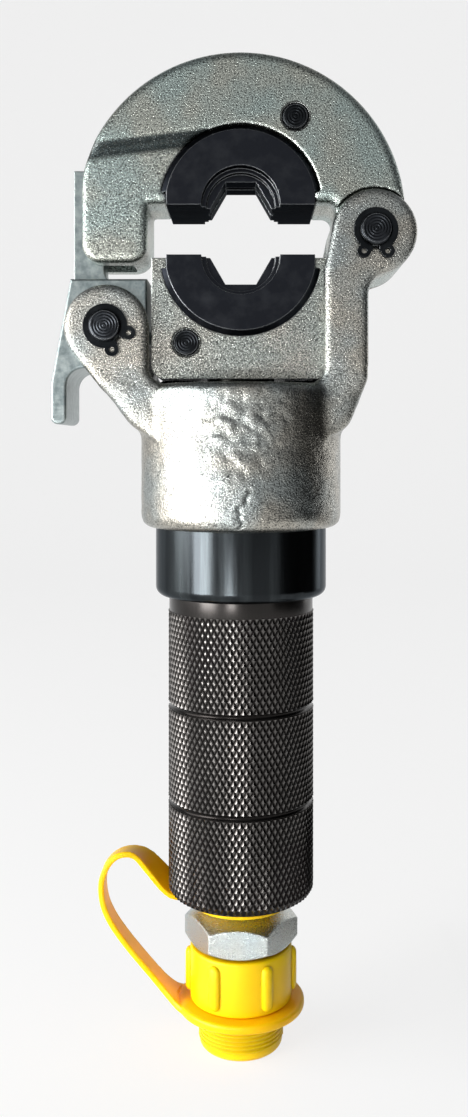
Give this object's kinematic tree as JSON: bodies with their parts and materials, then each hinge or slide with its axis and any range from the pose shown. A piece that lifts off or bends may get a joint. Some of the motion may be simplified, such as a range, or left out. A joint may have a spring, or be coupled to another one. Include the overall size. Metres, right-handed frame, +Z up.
{
  "type": "pipe press head",
  "caption": "Hand-held hydraulic pipe press head: hinged C jaw with a latch, exchangeable dies on a rising ram, knurled handle, and a hose coupler under a captive yellow dust cap.",
  "frame": {"origin": "on the ram axis, at the end face of the dust cap's plug", "axes": "+Z up the ram axis from the plug to the jaw, +X from the latch to the hinge, +Y from the front, where the release buttons are, to the back"},
  "size_m": [0.1153, 0.0652, 0.3197],
  "materials": {
    "zinc_forging": "satin",
    "zinc_satin": "satin",
    "black_oxide_die": "satin",
    "black_oxide_pin": "satin",
    "black_oxide_collar": "satin",
    "black_anodised_grip": "satin",
    "yellow_plastic": "satin",
    "ground_steel": "polished",
    "spring_steel": "satin",
    "bronze": "satin",
    "seal_rubber": "matte"
  },
  "bodies": {
    "frame": {"yoke": "zinc_forging", "cylinder": "black_oxide_collar", "handle_sleeve": "black_anodised_grip", "rod_gland": "bronze", "rod_wiper": "seal_rubber", "hinge_pin": "black_oxide_pin", "hinge_circlips": "black_oxide_pin", "latch_pin": "black_oxide_pin", "latch_circlips": "black_oxide_pin", "latch_spring": "spring_steel", "return_spring": "spring_steel", "coupler_body": "zinc_satin", "coupler_seal": "seal_rubber", "poppet_guide": "ground_steel", "poppet_spring": "spring_steel", "cap_strap": "yellow_plastic"},
    "jaw": {"upper_jaw": "zinc_forging", "keeper_pin": "ground_steel", "upper_die": "black_oxide_die", "upper_lock_ball": "ground_steel", "upper_lock_spring": "spring_steel"},
    "latch": {"latch_lever": "zinc_satin"},
    "ram": {"ram_block": "zinc_forging", "lower_die": "black_oxide_die", "lower_lock_ball": "ground_steel", "lower_lock_spring": "spring_steel", "piston_rod": "ground_steel", "piston": "ground_steel", "piston_seal": "seal_rubber", "piston_guide_ring": "bronze", "ram_screw": "ground_steel"},
    "upper_lock": {"upper_lock_pin": "black_oxide_pin"},
    "lower_lock": {"lower_lock_pin": "black_oxide_pin"},
    "poppet": {"coupler_poppet": "ground_steel"},
    "cap_eye": {"strap_eye": "yellow_plastic"},
    "cap": {"dust_cap": "yellow_plastic"}
  },
  "joints": [
    {"name": "jaw_hinge", "type": "hinge", "parent": "frame", "child": "jaw", "pos_m": [0.042, 0, 0.2624], "axis": [0, 1, 0], "range_deg": [0, 100]},
    {"name": "latch_release", "type": "hinge", "parent": "frame", "child": "latch", "pos_m": [-0.042, 0, 0.2325], "axis": [0, -1, 0], "range_deg": [0, 14], "stiffness_Nm_per_rad": 0.8, "springref_deg": -20.05, "deforming": ["latch_spring"]},
    {"name": "ram_slide", "type": "slide", "parent": "frame", "child": "ram", "axis": [0, 0, 1], "range_m": [0, 0.0155], "stiffness_N_per_m": 12800, "springref_m": -0.005, "deforming": ["return_spring"]},
    {"name": "upper_lock_press", "type": "slide", "parent": "jaw", "child": "upper_lock", "axis": [0, 1, 0], "range_m": [0, 0.0036], "stiffness_N_per_m": 800, "springref_m": -0.002, "deforming": ["upper_lock_spring"]},
    {"name": "lower_lock_press", "type": "slide", "parent": "ram", "child": "lower_lock", "axis": [0, 1, 0], "range_m": [0, 0.0036], "stiffness_N_per_m": 800, "springref_m": -0.002, "deforming": ["lower_lock_spring"]},
    {"name": "poppet_lift", "type": "slide", "parent": "frame", "child": "poppet", "axis": [0, 0, 1], "range_m": [0, 0.003], "stiffness_N_per_m": 1500, "springref_m": -0.003, "deforming": ["poppet_spring"]},
    {"name": "cap_slide", "type": "slide", "parent": "frame", "child": "cap_eye", "axis": [0, 0, -1], "range_m": [0, 0.012], "deforming": ["cap_strap"]},
    {"name": "cap_turn", "type": "hinge", "parent": "cap_eye", "child": "cap", "pos_m": [0, 0, 0.0142], "axis": [0, 0, -1], "range_deg": [0, 1440]}
  ],
  "couplings": [
    {"joint": "cap_slide", "follows": "cap_turn", "m_per_rad": 0.00047746}
  ]
}
